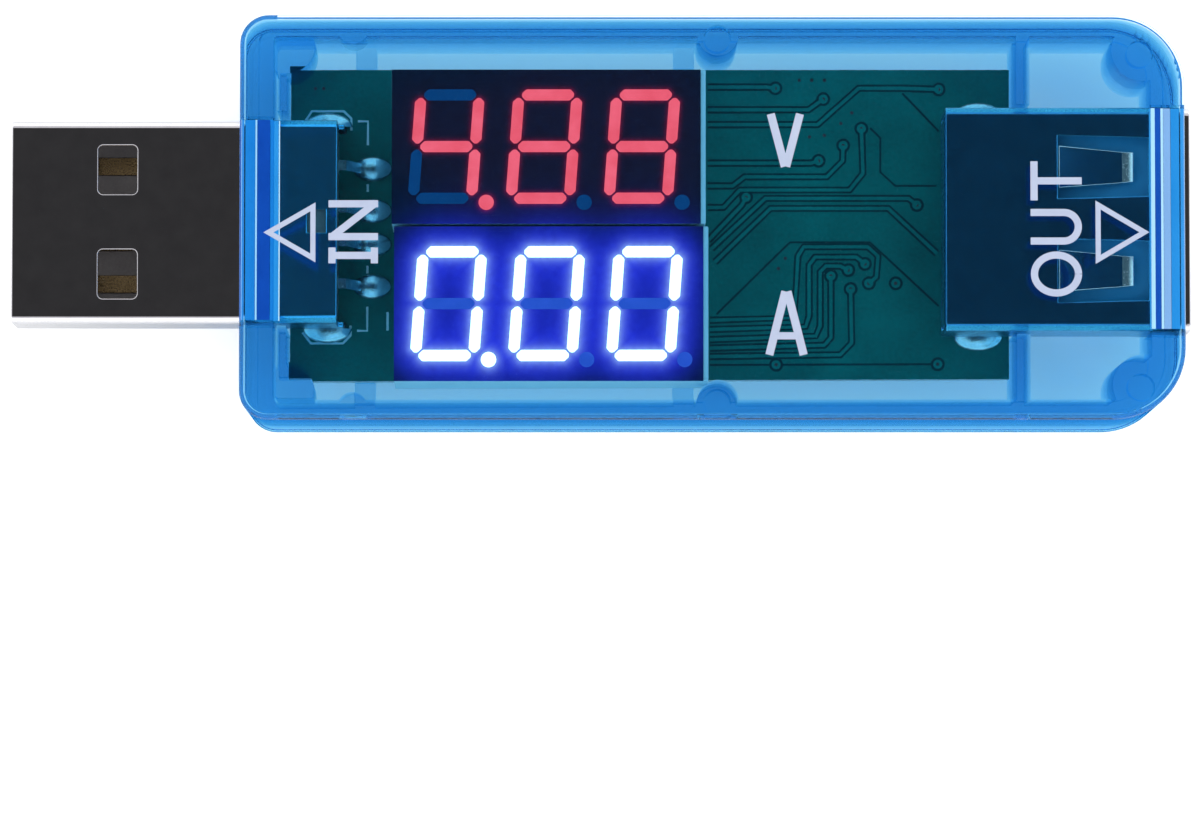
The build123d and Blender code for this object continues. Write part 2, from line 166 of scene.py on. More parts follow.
def spread(piece, places, name):
    # a copy of the piece at each place, joined into one
    copies = []
    for place in places:
        twin = piece.copy()
        twin.data = piece.data.copy()
        twin.location = place
        bpy.context.scene.collection.objects.link(twin)
        copies.append(twin)
    bpy.data.objects.remove(piece)
    joined = joinPieces(copies, name)
    applyPlace(joined)
    return joined


def finishPiece(piece, body, slotName, *replaced):
    applyPlace(piece)
    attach(piece, body)
    if replaced:
        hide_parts(*replaced)
    return piece


def setMaterial(piece, *materials):
    piece.data.materials.clear()
    for material in materials:
        piece.data.materials.append(material)


def paintFaces(piece, index, wanted):
    for face in piece.data.polygons:
        if wanted(face):
            face.material_index = index


def layStrip(points, width, rise, base):
    # a flat strip of that width along points in millimetres, from base up to base + rise
    profile = bpy.data.curves.new("stripProfile", "CURVE")
    edge = profile.splines.new("POLY")
    edge.points.add(3)
    halfWide, halfTall = width / 2, rise / 2
    for point, (across, up) in zip(edge.points, ((-1, -1), (1, -1), (1, 1), (-1, 1))):
        point.co = (across * halfWide, up * halfTall, 0, 1)
    edge.use_cyclic_u = True
    profileObject = bpy.data.objects.new("stripProfile", profile)
    bpy.context.scene.collection.objects.link(profileObject)
    line = bpy.data.curves.new("strip", "CURVE")
    line.dimensions = "3D"
    line.twist_mode = "Z_UP"
    line.bevel_mode = "OBJECT"
    line.bevel_object = profileObject
    line.use_fill_caps = True
    spline = line.splines.new("POLY")
    spline.points.add(len(points) - 1)
    for point, (x, y) in zip(spline.points, points):
        point.co = (x * mm, y * mm, base + halfTall, 1)
    spline.use_smooth = False
    strip = bpy.data.objects.new("strip", line)
    bpy.context.scene.collection.objects.link(strip)
    makeActive(strip)
    bpy.ops.object.convert(target="MESH")
    bpy.data.objects.remove(profileObject)
    return bpy.context.object


def layStrips(name, lines, width, rise, base):
    return joinPieces([layStrip(points, width, rise, base) for points in lines], name)


def arcPoints(centre, radiusX, radiusY, start, end, steps=16):
    turns = [math.radians(start + (end - start) * i / steps) for i in range(steps + 1)]
    return [(centre[0] + radiusX * math.cos(t), centre[1] + radiusY * math.sin(t)) for t in turns]


# material helpers

def startMaterial(name):
    material = bpy.data.materials.new(name)
    material.use_nodes = True
    tree = material.node_tree
    shader = tree.nodes["Principled BSDF"]
    return material, tree, shader


def objectCoordinates(tree, scale=(1, 1, 1)):
    place = tree.nodes.new("ShaderNodeTexCoord")
    mapping = tree.nodes.new("ShaderNodeMapping")
    mapping.inputs["Scale"].default_value = scale
    tree.links.new(place.outputs["Object"], mapping.inputs["Vector"])
    return mapping.outputs["Vector"]


def noise(tree, vector, size, detail=4, rough=0.55):
    made = tree.nodes.new("ShaderNodeTexNoise")
    made.inputs["Scale"].default_value = size
    made.inputs["Detail"].default_value = detail
    made.inputs["Roughness"].default_value = rough
    tree.links.new(vector, made.inputs["Vector"])
    return made.outputs["Fac"]


def ramp(tree, factor, stops):
    made = tree.nodes.new("ShaderNodeValToRGB")
    elements = made.color_ramp.elements
    while len(elements) < len(stops):
        elements.new(0.5)
    for element, (place, colour) in zip(elements, stops):
        element.position = place
        element.color = (*colour, 1)
    tree.links.new(factor, made.inputs["Fac"])
    return made.outputs["Color"]


def average(tree, first, second):
    total = tree.nodes.new("ShaderNodeMath")
    total.operation = "ADD"
    tree.links.new(first, total.inputs[0])
    tree.links.new(second, total.inputs[1])
    half = tree.nodes.new("ShaderNodeMath")
    half.operation = "MULTIPLY"
    half.inputs[1].default_value = 0.5
    tree.links.new(total.outputs[0], half.inputs[0])
    return half.outputs[0]


def bump(tree, shader, height, strength, distance):
    made = tree.nodes.new("ShaderNodeBump")
    made.inputs["Strength"].default_value = strength
    made.inputs["Distance"].default_value = distance
    tree.links.new(height, made.inputs["Height"])
    tree.links.new(made.outputs["Normal"], shader.inputs["Normal"])


def grainMaterial(name, dark, light, roughness=(0.4, 0.6), grain=9000, metallic=0.0, relief=0.01 * mm,
                  stretch=(1, 1, 1), reliefStrength=0.3, clouds=18):
    # a solid surface with mottled colour, uneven shine and a fine grain
    material, tree, shader = startMaterial(name)
    broad = noise(tree, objectCoordinates(tree), grain / clouds, 3)
    fine = noise(tree, objectCoordinates(tree, stretch), grain, 6, 0.65)
    colour = ramp(tree, average(tree, broad, fine), [(0.3, dark), (0.7, light)])
    tree.links.new(colour, shader.inputs["Base Color"])
    shine = ramp(tree, fine, [(0.3, (roughness[0],) * 3), (0.7, (roughness[1],) * 3)])
    tree.links.new(shine, shader.inputs["Roughness"])
    shader.inputs["Metallic"].default_value = metallic
    bump(tree, shader, fine, reliefStrength, relief)
    return material


# clear blue shells

clearBlue = {
    "surfaceTint": (0.72, 0.915, 0.97), "lampTint": (0.6, 0.86, 0.96), "ior": 1.5, "shineTint": (0.25, 0.6, 0.95),
    "edgeOn": (0.8, 0.9),
    "depthColour": (0.27, 0.70, 0.91), "depthPerMetre": 300, "roughness": (0.01, 0.045),
    "scuffSize": 1400, "scuffStrength": 0.06, "scuffRelief": 0.02 * mm,
    "topDrop": 0.03 * mm, "partingGap": 0.015 * mm, "planeSlack": 0.01 * mm,
}


def clearPlastic():
    # clear plastic that grows bluer with depth, lets lamps through and stays blue where it is seen edge on
    material, tree, shader = startMaterial("clearBluePlastic")
    shader.inputs["Base Color"].default_value = (*clearBlue["surfaceTint"], 1)
    shader.inputs["Transmission Weight"].default_value = 1
    shader.inputs["IOR"].default_value = clearBlue["ior"]
    shader.inputs["Specular Tint"].default_value = (*clearBlue["shineTint"], 1)
    scuffs = noise(tree, objectCoordinates(tree), clearBlue["scuffSize"], 5, 0.6)
    low, high = clearBlue["roughness"]
    tree.links.new(ramp(tree, scuffs, [(0.35, (low,) * 3), (0.75, (high,) * 3)]), shader.inputs["Roughness"])
    bump(tree, shader, scuffs, clearBlue["scuffStrength"], clearBlue["scuffRelief"])
    lamps = tree.nodes.new("ShaderNodeBsdfTransparent")
    lamps.inputs["Color"].default_value = (*clearBlue["lampTint"], 1)
    path = tree.nodes.new("ShaderNodeLightPath")
    either = tree.nodes.new("ShaderNodeMath")
    either.operation = "MAXIMUM"
    tree.links.new(path.outputs["Is Shadow Ray"], either.inputs[0])
    tree.links.new(path.outputs["Is Diffuse Ray"], either.inputs[1])
    facing = tree.nodes.new("ShaderNodeLayerWeight")
    start, full = clearBlue["edgeOn"]
    edgeOn = ramp(tree, facing.outputs["Facing"], [(start, (0, 0, 0)), (full, (1, 1, 1))])
    clear = tree.nodes.new("ShaderNodeMath")
    clear.operation = "MAXIMUM"
    tree.links.new(either.outputs[0], clear.inputs[0])
    tree.links.new(edgeOn, clear.inputs[1])
    mix = tree.nodes.new("ShaderNodeMixShader")
    tree.links.new(clear.outputs[0], mix.inputs[0])
    tree.links.new(shader.outputs[0], mix.inputs[1])
    tree.links.new(lamps.outputs[0], mix.inputs[2])
    depth = tree.nodes.new("ShaderNodeVolumeAbsorption")
    depth.inputs["Color"].default_value = (*clearBlue["depthColour"], 1)
    depth.inputs["Density"].default_value = clearBlue["depthPerMetre"]
    output = tree.nodes["Material Output"]
    tree.links.new(mix.outputs[0], output.inputs["Surface"])
    tree.links.new(depth.outputs[0], output.inputs["Volume"])
    return material


shellBlue = clearPlastic()
parting = (lowBack.z + highFront.z) / 2


def clearShell(node, name, facing):
    # facing 1 is the display side, -1 the back
    shell = copyNode(node, name)
    pickCorners(shell, lambda point: abs(point.z - parting) < clearBlue["planeSlack"])
    bpy.ops.transform.translate(value=(0, 0, facing * clearBlue["partingGap"]))
    leaveEdit()
    if facing > 0:
        pickCorners(shell, lambda point: point.z > highFront.z - clearBlue["planeSlack"])
        bpy.ops.transform.translate(value=(0, 0, -clearBlue["topDrop"]))
        leaveEdit()
    shadeSmooth(shell)
    setMaterial(shell, shellBlue)
    return finishPiece(shell, "meter", "clear_blue", node)


clearShell("front_shell", "frontShell", 1)
clearShell("back_shell", "backShell", -1)
print("case shells done")


# strips in the slots over plug and port, painted with the light and shade seen in the plastic there

# each band: where it starts and ends along the case, in millimetres
paintedSlotBands = {
    "rise": 0.05 * mm, "clearance": 0.02 * mm, "sideGap": 0.1,
    "plug": {
        "midBand": [(-20.98, -20.28), (-19.38, -18.92)], "paleBand": [(-20.26, -20.16), (-18.9, -18.84)],
        "deepBand": [(-20.14, -19.4)],
    },
    "port": {
        "midBand": [(33.53, 34.1), (32.28, 32.35)], "paleBand": [(32.37, 32.59), (32.94, 33.08)],
        "deepBand": [(32.61, 32.92)], "hazeBand": [(33.1, 33.51)],
    },
}
# painted light: a blue glow band, a deep shade band, a pale highlight band and a lavender reflection band, each in two
# colours
paintedBandColours = {
    "midBand": ((0.12, 0.5, 0.85), (0.2, 0.6, 0.95)), "deepBand": ((0.05, 0.13, 0.5), (0.09, 0.2, 0.65)),
    "paleBand": ((0.85, 0.95, 1.0), (0.95, 1.0, 1.0)), "hazeBand": ((0.7, 0.7, 0.85), (0.85, 0.8, 0.95)),
}
# the glow of the painted highlight bands and the painted reflection band
paintedBandGlow = {"paleBand": (0.8, 0.5, 0.35), "hazeBand": (0.32, 0.12, 0.08)}


def paintedBandMaterial(kind):
    # frosted plastic painted with light and shade; the pale bands, a painted highlight and a painted reflection, also
    # glow with light of their own
    dark, light = paintedBandColours[kind]
    material = grainMaterial(kind + "Blue", dark, light, (0.4, 0.6), 6000, 0, 0.01 * mm, (3, 0.6, 1))
    if kind in paintedBandGlow:
        shader = material.node_tree.nodes["Principled BSDF"]
        shader.inputs["Emission Color"].default_value = (*paintedBandGlow[kind], 1)
        shader.inputs["Emission Strength"].default_value = 1
    return material


for kind in paintedBandColours:
    strips = []
    for end, low, high in (("plug", lowPlug, highPlug), ("port", lowPort, highPort)):
        half = (high.y - low.y) / 2 / mm - paintedSlotBands["sideGap"]
        for x0, x1 in paintedSlotBands[end].get(kind, []):
            middle, width = (x0 + x1) / 2, (x1 - x0) * mm
            base = high.z + paintedSlotBands["clearance"]
            strips.append(layStrip([(middle, -half), (middle, half)], width, paintedSlotBands["rise"], base))
    bands = joinPieces(strips, kind)
    setMaterial(bands, paintedBandMaterial(kind))
    finishPiece(bands, "meter", "clear_blue")

# a painted highlight: a pale glowing strip just under the rounded rim, where the edge catches light
rim = {"inset": 0.2, "cornerRadius": 4.2, "width": 0.06 * mm, "rise": 0.03 * mm, "under": 0.5 * mm, "start": 2.2}
rimX, rimY = highFront.x / mm, highFront.y / mm
cornerX, cornerY = rimX - rim["cornerRadius"], rimY - rim["cornerRadius"]
rimBend = rim["cornerRadius"] - rim["inset"]
rimStart = (lowFront.x / mm + rim["start"], rimY - rim["inset"])
rimEnd = (rimX - rim["inset"], highPort.y / mm)
rimLine = [rimStart] + arcPoints((cornerX, cornerY), rimBend, rimBend, 90, 0, 18) + [rimEnd]
rimLight = layStrips("rimLight", [rimLine], rim["width"], rim["rise"], highFront.z - rim["under"])
setMaterial(rimLight, paintedBandMaterial("paleBand"))
finishPiece(rimLight, "meter", "clear_blue")
print("slot bands and rim done")


# white legends on the face

legends = {
    "rise": 0.028 * mm, "step": 0.0012 * mm, "stroke": 0.47 * mm, "fineStroke": 0.42 * mm, "markStroke": 0.3 * mm,
    "sideInset": 0.22,
    "volt": {"centre": (10.86, 4.47), "size": (2.15, 3.1), "tip": 0.04},
    "ampere": {"centre": (10.9, -6.28), "size": (2.45, 3.72), "tip": 0.06, "barAt": 0.3},
    "in": {"base": -12.99, "cap": 2.9, "foot": -2.77, "serif": 0.93, "gap": 0.43, "wide": 2.35},
    "out": {"base": 28.2, "cap": 3.0, "foot": -4.72, "round": 2.65, "cup": 2.1, "gap": 0.4, "barGap": 0.5, "bar": 2.3},
    "inArrow": {"tip": -19.7, "flat": -16.65, "middle": -0.95, "half": 1.76},
    "outArrow": {"tip": 32.15, "flat": 29.0, "middle": -0.94, "half": 1.86},
}
printWhite = grainMaterial(
    "whitePrint", (0.4, 0.46, 0.62), (0.48, 0.54, 0.7), (0.45, 0.65), 20000, 0, 0.004 * mm,
)


def stroke(points, width=None, step=0):
    # step puts a stroke a hair lower than the ones it crosses
    base = highFront.z - clearBlue["topDrop"]
    return layStrip(points, width or legends["stroke"], legends["rise"] - step * legends["step"], base)


def voltMark():
    mark = legends["volt"]
    (x, y), (wide, tall) = mark["centre"], mark["size"]
    side = wide / 2 - legends["sideInset"]
    top, foot = y + tall / 2, y - tall / 2
    return [stroke([(x + turn * side, top), (x + turn * mark["tip"], foot)], step=turn) for turn in (-1, 1)]


def ampereMark():
    mark = legends["ampere"]
    (x, y), (wide, tall) = mark["centre"], mark["size"]
    side = wide / 2 - legends["sideInset"]
    top, foot = y + tall / 2, y - tall / 2
    bar = foot + mark["barAt"] * tall
    reach = side * (1 - mark["barAt"])
    strokes = [stroke([(x + turn * side, foot), (x + turn * mark["tip"], top)], step=turn) for turn in (-1, 1)]
    return strokes + [stroke([(x - reach, bar), (x + reach, bar)], legends["fineStroke"], 3)]


def inMark():
    mark = legends["in"]
    low, high = mark["base"] - mark["cap"], mark["base"]
    inset = legends["fineStroke"] / mm / 2
    stem = mark["foot"] + mark["serif"] / 2
    strokes = [stroke([(low + inset, stem), (high - inset, stem)], legends["fineStroke"])]
    for end in (low + inset, high - inset):
        serif = [(end, mark["foot"]), (end, mark["foot"] + mark["serif"])]
        strokes.append(stroke(serif, legends["fineStroke"], 1))
    first = mark["foot"] + mark["serif"] + mark["gap"] + inset
    last = first + mark["wide"] - 2 * inset
    for y in (first, last):
        strokes.append(stroke([(low, y), (high, y)], legends["fineStroke"]))
    strokes.append(stroke([(low + inset, first), (high - inset, last)], legends["fineStroke"], 1))
    return strokes


def outMark():
    mark = legends["out"]
    low, high = mark["base"] - mark["cap"], mark["base"]
    inset = legends["fineStroke"] / mm / 2
    middle = (low + high) / 2
    ringY = mark["foot"] + mark["round"] / 2
    ring = arcPoints((middle, ringY), mark["cap"] / 2 - inset, mark["round"] / 2 - inset, 0, 360, 36)
    cupFoot = mark["foot"] + mark["round"] + mark["gap"]
    radius = mark["cup"] / 2 - inset
    cupMiddle = cupFoot + inset + radius
    bend = arcPoints((high - inset - radius, cupMiddle), radius, radius, -90, 90, 20)
    cup = [(low, bend[0][1])] + bend + [(low, bend[-1][1])]
    barFoot = cupFoot + mark["cup"] + mark["barGap"]
    stem = barFoot + mark["bar"] / 2
    return [
        stroke(ring, legends["fineStroke"]), stroke(cup, legends["fineStroke"]),
        stroke([(low + inset, barFoot), (low + inset, barFoot + mark["bar"])], legends["fineStroke"]),
        stroke([(low + inset, stem), (high, stem)], legends["fineStroke"], 1),
    ]


def arrowMark(mark):
    # a hollow triangle: a three-sided disc, inset, with its middle taken out
    bpy.ops.mesh.primitive_circle_add(vertices=3, radius=1, fill_type="NGON", location=(0, 0, 0))
    arrow = bpy.context.object
    corners = sorted(arrow.data.vertices, key=lambda vertex: -vertex.co.y)
    base = highFront.z - clearBlue["topDrop"]
    middle, half = mark["middle"], mark["half"]
    places = ((mark["tip"], middle), (mark["flat"], middle + half), (mark["flat"], middle - half))
    for vertex, (x, y) in zip(corners, places):
        vertex.co = (x * mm, y * mm, base)
    pickFaces(arrow, lambda face: True)
    bpy.ops.mesh.inset(thickness=legends["markStroke"], depth=0)
    bpy.ops.mesh.delete(type="FACE")
    bpy.ops.mesh.select_all(action="SELECT")
    bpy.ops.mesh.extrude_region_move(TRANSFORM_OT_translate={"value": (0, 0, legends["rise"])})
    bpy.ops.mesh.select_all(action="SELECT")
    bpy.ops.mesh.normals_make_consistent(inside=False)
    leaveEdit()
    return arrow


prints = voltMark() + ampereMark() + inMark() + outMark()
prints += [arrowMark(legends["inArrow"]), arrowMark(legends["outArrow"])]
legendPrint = joinPieces(prints, "legendPrint")
setMaterial(legendPrint, printWhite)
finishPiece(legendPrint, "meter", "white_insulator")
print("legends done")


# metal shells of plug and port

# painted shade: the flat faces get a darker copy of the steel than the sides, besides the dark overhead that they
# reflect
steelPaintedShade = grainMaterial(
    "darkSatinSteel", (0.36, 0.35, 0.38), (0.48, 0.47, 0.5), (0.05, 0.1), 16000, 1.0, 0.0008 * mm, (1, 2.5, 2.5),
)
# painted highlight: the sides get a brighter copy of the same steel
bareSteel = grainMaterial(
    "bareSteel", (0.74, 0.74, 0.77), (0.9, 0.9, 0.93), (0.16, 0.3), 12000, 1.0, 0.002 * mm,
)
# painted reflection: the port's steel inside the case and the springs' flat faces are painted navy for the blue
# plastic around them
portSteel = grainMaterial(
    "portSteel", (0.04, 0.23, 0.46), (0.07, 0.31, 0.6), (0.12, 0.2), 14000, 1.0, 0.0012 * mm, (1, 2.5, 2.5),
)
# painted reflection: the plug's flat faces inside the case are painted bright blue for the glow of the plastic above
# them
innerPlugSteel = grainMaterial(
    "innerPlugSteel", (0.05, 0.38, 0.75), (0.09, 0.5, 0.9), (0.12, 0.2), 14000, 1.0, 0.0012 * mm, (1, 2.5, 2.5),
)
# painted reflection: the metal sides inside the case are painted blue for the plastic around them
innerSideSteel = grainMaterial(
    "innerSideSteel", (0.05, 0.3, 0.47), (0.09, 0.4, 0.6), (0.2, 0.35), 12000, 1.0, 0.002 * mm,
)
metalShells = {"edge": 0.07 * mm, "stripEdge": 0.05 * mm, "flat": 0.9, "stripFlat": 0.985}


def splitAt(piece, x):
    # cuts the mesh round at that length, so that both sides can have their own material: painted blue light inside the
    # case on the metal shells and the port tongue, tin on the contacts' leads
    pickFaces(piece, lambda face: True)
    bpy.ops.mesh.bisect(plane_co=(x, 0, 0), plane_no=(1, 0, 0))
    leaveEdit()


def isSide(face):
    return abs(face.normal.z) < metalShells["flat"]


def isInside(face):
    return lowFront.x < face.center.x < highFront.x


for node, name, inner, slotName in (
    ("plug_shell", "plugShell", innerPlugSteel, "plug_steel"), ("port_shell", "portShell", portSteel, "port_steel"),
):
    shell = copyNode(node, name)
    splitAt(shell, lowFront.x)
    splitAt(shell, highFront.x)
    softenEdges(shell, metalShells["edge"])
    setMaterial(shell, steelPaintedShade, bareSteel, inner, innerSideSteel)
    # painted shade on the flat faces, painted highlight on the sides, painted blue reflection inside the case
    paintFaces(shell, 1, isSide)
    paintFaces(shell, 2, isInside)
    paintFaces(shell, 3, lambda face: isInside(face) and isSide(face))
    finishPiece(shell, "meter", slotName, node)

for node in springs:
    strip = copyNode(node, node.replace("port_spring", "spring").replace("_", ""))
    softenEdges(strip, metalShells["stripEdge"])
    # painted highlight on the springs' sides, painted navy reflection on their flat faces
    setMaterial(strip, portSteel, bareSteel)
    paintFaces(strip, 1, lambda face: abs(face.normal.z) < metalShells["stripFlat"])
    finishPiece(strip, node, "port_steel", node)
print("metal shells done")


# board with its tracks, through holes and white marks

boardGreen = grainMaterial(
    "greenSolderMask", (0.0, 0.09, 0.08), (0.002, 0.18, 0.15), (0.12, 0.22), 5000, 0, 0.0015 * mm,
)
trackGreen = grainMaterial(
    "greenOverCopper", (0.0, 0.12, 0.105), (0.003, 0.21, 0.175), (0.12, 0.22), 7000, 0, 0.0015 * mm,
)
grooveGreen = grainMaterial(
    "greenInGap", (0.0, 0.025, 0.028), (0.001, 0.05, 0.05), (0.15, 0.25), 7000, 0, 0.0015 * mm,
)
silkWhite = grainMaterial(
    "whiteBoardMark", (0.45, 0.55, 0.58), (0.62, 0.72, 0.74), (0.5, 0.7), 20000, 0, 0.004 * mm,
)
# painted reflection: the tin inside the case is painted blue for the blue plastic around it
tinned = grainMaterial(
    "tinnedCopper", (0.22, 0.48, 0.62), (0.42, 0.68, 0.82), (0.1, 0.28), 5000, 1.0, 0.03 * mm, reliefStrength=0.6,
)
# painted shade: the dark of the hole in each ring
holePaintedShade = grainMaterial("throughHole", (0.004, 0.01, 0.012), (0.01, 0.02, 0.022), (0.5, 0.7), 9000)
setMaterial(nodes["circuit_board"], boardGreen)

# tracks in millimetres along and across the case; each ends at a through hole where one is named
board = {
    "trackWidth": 0.2 * mm, "grooveWidth": 0.46 * mm, "lineWidth": 0.13 * mm, "silkWidth": 0.14 * mm,
    "trackRise": 0.016 * mm, "grooveRise": 0.006 * mm, "silkRise": 0.022 * mm,
    "ringRadius": 0.27 * mm, "holeRadius": 0.11 * mm, "dotRadius": 0.13 * mm, "ringRise": 0.02 * mm,
    "ringGroove": 0.42 * mm, "grooveUnder": 0.9, "grooveSeat": 0.48, "holeSink": 0.7,
    "topTracks": [
        [(6.46, 8.37), (10.0, 8.37), (10.48, 8.3)],
        [(6.46, 7.01), (12.45, 7.01), (13.33, 7.65)],
        [(6.46, 6.12), (12.99, 6.12), (15.44, 8.3), (18.03, 8.3), (20.2, 8.23)],
        [(6.46, 3.81), (12.58, 3.81), (13.06, 3.95)],
        [(6.46, 2.45), (7.96, 2.45), (8.64, 2.99), (13.54, 2.99), (14.49, 3.95), (14.52, 4.87)],
        [(6.46, 1.16), (7.41, 1.16), (8.37, 2.2), (14.9, 2.2), (15.7, 3.2), (15.6, 5.88)],
        [(6.5, -0.82), (8.5, 1.3), (8.75, 1.77)],
        [(6.7, -1.3), (9.9, 1.7), (18.4, 1.7), (18.9, 1.3)],
        [(6.9, -2.1), (10.2, 1.1), (17.2, 1.1), (20.1, -1.6)],
        [(6.6, -5.55), (11.63, -5.42), (11.84, -1.75), (12.18, -1.2), (15.99, -1.2), (16.6, -1.75), (16.5, -3.0),
         (16.05, -3.38)],
        [(6.6, -6.1), (12.3, -5.95), (12.5, -5.3), (12.5, -2.3), (12.85, -1.81), (15.3, -1.81), (15.82, -2.22)],
        [(6.6, -6.7), (12.9, -6.5), (13.16, -5.9), (13.16, -2.7), (13.5, -2.35), (14.35, -2.35), (14.83, -2.59)],
        [(6.6, -7.2), (13.4, -7.05), (13.8, -6.6), (13.8, -2.94)],
        [(6.6, -7.7), (14.35, -7.62), (15.03, -6.92), (14.97, -3.72)],
        [(-4.0, 9.0), (5.6, 9.0)],
    ],
    "topLines": [
        [(16.12, 5.92), (16.73, 5.31), (16.73, 3.27), (17.62, 2.45), (20.07, 2.45)],
        [(7.0, -5.2), (11.36, -0.93), (16.12, -0.93), (20.2, -4.74)],
        [(18.03, 8.0), (20.2, 5.72)],
        [(6.6, -8.2), (20.1, -8.2)],
    ],
    "topRings": [
        (10.48, 8.3), (13.33, 7.65), (20.2, 8.23), (13.06, 3.95), (14.52, 4.87), (15.6, 5.88), (8.75, 1.77),
        (18.9, 1.3), (16.05, -3.38), (15.82, -2.22), (14.83, -2.59), (13.8, -2.94), (14.97, -3.72), (17.65, -3.38),
        (20.14, -8.2), (10.54, -8.2),
    ],
    "topDots": [
        (11.9, 8.78), (12.65, 8.78), (13.4, 8.78), (15.03, 6.83), (14.38, 6.19), (12.52, 5.38), (13.4, 5.47),
        (11.09, -1.88), (10.68, -2.49), (-16.9, 8.3), (-16.4, 8.3),
    ],
    "topSilk": [
        [(-14.36, 6.34), (-13.76, 6.34), (-13.76, 4.92)], [(-14.36, -6.11), (-13.76, -6.11), (-13.76, -4.68)],
        [(-13.76, 2.6), (-13.76, 2.15)], [(-13.76, -2.25), (-13.76, -2.7)],
        [(-12.55, -5.0), (-12.55, -6.1)],
        [(-17.6, -6.2), (-17.1, -6.85), (-15.2, -6.85), (-14.75, -6.4), (-14.75, -5.8)],
        [(-17.6, 6.2), (-17.1, 6.95), (-15.2, 6.95), (-14.75, 6.5), (-14.75, 5.8)],
    ],
    "backTracks": [
        [(9.1, -7.35), (9.1, -8.1), (2.6, -8.1), (1.4, -7.2)], [(10.4, -7.35), (10.4, -8.5), (2.0, -8.5)],
        [(11.6, -7.35), (11.6, -8.8), (-2.0, -8.8), (-3.0, -7.4)], [(9.1, -1.4), (9.1, -0.4), (4.0, -0.4), (2.8, 0.5)],
        [(10.4, -1.4), (10.4, 0.2), (6.2, 0.2), (4.0, 1.6), (-0.6, 1.6)], [(12.9, -1.4), (12.9, -0.9), (14.6, -0.4)],
        [(7.9, 0.6), (6.6, 0.6), (5.4, 2.2), (-2.0, 2.2), (-3.2, 1.2)], [(15.6, 2.9), (15.6, 3.4)],
        [(-13.2, 3.5), (-10.0, 3.5), (-9.2, 2.7), (-5.0, 2.7)], [(-13.2, -3.5), (-11.2, -3.5), (-10.2, -4.6)],
        [(-13.2, 1.0), (-6.0, 1.0), (-5.2, 0.2), (-1.5, 0.2)], [(19.6, 5.2), (21.2, 3.6)],
        [(18.9, -4.4), (20.6, -3.6), (21.6, -3.5)], [(17.0, -7.35), (17.0, -8.3), (20.8, -8.3)],
    ],
    "backRings": [
        (1.4, -7.2), (2.0, -8.5), (2.8, 0.5), (-0.6, 1.6), (20.8, -8.3), (-5.0, 2.7), (-10.2, -4.6), (-1.5, 0.2),
        (14.6, -0.4), (6.5, 6.8), (5.5, 7.6), (-14.6, 7.6), (-15.6, 7.6),
    ],
    "backSilk": [
        [(12.9, 3.2), (12.9, 7.2), (19.8, 7.2), (19.8, 3.2)], [(-9.9, 7.6), (-8.9, 8.5)],
        [(8.2, -1.2), (7.7, -1.7), (7.7, -7.1), (18.9, -7.1)],
    ],
}


def throughHoles(name, places, radius, base, facing):
    # a low ring with a sunk middle painted dark as the shade in the hole; facing 1 stands up from the top, -1 hangs
    # from the underside
    rise = board["ringRise"]
    bpy.ops.mesh.primitive_cylinder_add(
        vertices=20, radius=radius, depth=rise, location=(0, 0, 0), end_fill_type="NGON",
    )
    ring = bpy.context.object
    pickFaces(ring, lambda face: face.normal.z * facing > 0.9)
    bpy.ops.mesh.inset(thickness=radius - board["holeRadius"], depth=0)
    bpy.ops.mesh.extrude_region_move(TRANSFORM_OT_translate={"value": (0, 0, -facing * rise * board["holeSink"])})
    leaveEdit()
    setMaterial(ring, trackGreen, holePaintedShade)
    paintFaces(ring, 1, lambda face: face.select)
    spots = [(x * mm, y * mm, base + facing * rise / 2) for x, y in places]
    return spread(ring, spots, name)


top, under = highBoard.z, lowBoard.z
for name, lines, width, rise, base, material in (
    ("topGrooves", board["topTracks"], "grooveWidth", "grooveRise", top, grooveGreen),
    ("topGapLines", board["topLines"], "lineWidth", "grooveRise", top, grooveGreen),
    ("topTracks", board["topTracks"], "trackWidth", "trackRise", top, trackGreen),
    ("topBoardMarks", board["topSilk"], "silkWidth", "silkRise", top, silkWhite),
    ("backGrooves", board["backTracks"], "grooveWidth", "grooveRise", under - board["grooveRise"], grooveGreen),
    ("backTracks", board["backTracks"], "trackWidth", "trackRise", under - board["trackRise"], trackGreen),
    ("backBoardMarks", board["backSilk"], "silkWidth", "silkRise", under - board["silkRise"], silkWhite),
):
    piece = layStrips(name, lines, board[width], board[rise], base)
    setMaterial(piece, material)
    finishPiece(piece, "meter", "board_green")


def ringGrooves(name, places, base, facing):
    # the dark gap round each ring, a thin disc under it
    rise = board["grooveRise"]
    bpy.ops.mesh.primitive_cylinder_add(
        vertices=24, radius=board["ringGroove"], depth=rise, location=(0, 0, 0), end_fill_type="NGON",
    )
    disc = bpy.context.object
    pickFaces(disc, lambda face: face.normal.z * facing > 0.9)
    bpy.ops.mesh.inset(thickness=board["ringGroove"] - board["ringRadius"] * board["grooveUnder"], depth=0)
    leaveEdit()
    setMaterial(disc, grooveGreen)
    seat = base + facing * rise * board["grooveSeat"]
    return spread(disc, [(x * mm, y * mm, seat) for x, y in places], name)


for name, places, base, facing in (
    ("topRingGrooves", board["topRings"], top, 1), ("backRingGrooves", board["backRings"], under, -1),
):
    finishPiece(ringGrooves(name, places, base, facing), "meter", "board_green")
for name, places, radius, base, facing in (
    ("topRings", board["topRings"], "ringRadius", top, 1), ("topDots", board["topDots"], "dotRadius", top, 1),
    ("backRings", board["backRings"], "ringRadius", under, -1),
):
    finishPiece(throughHoles(name, places, board[radius], base, facing), "meter", "board_green")
print("board done")


# displays

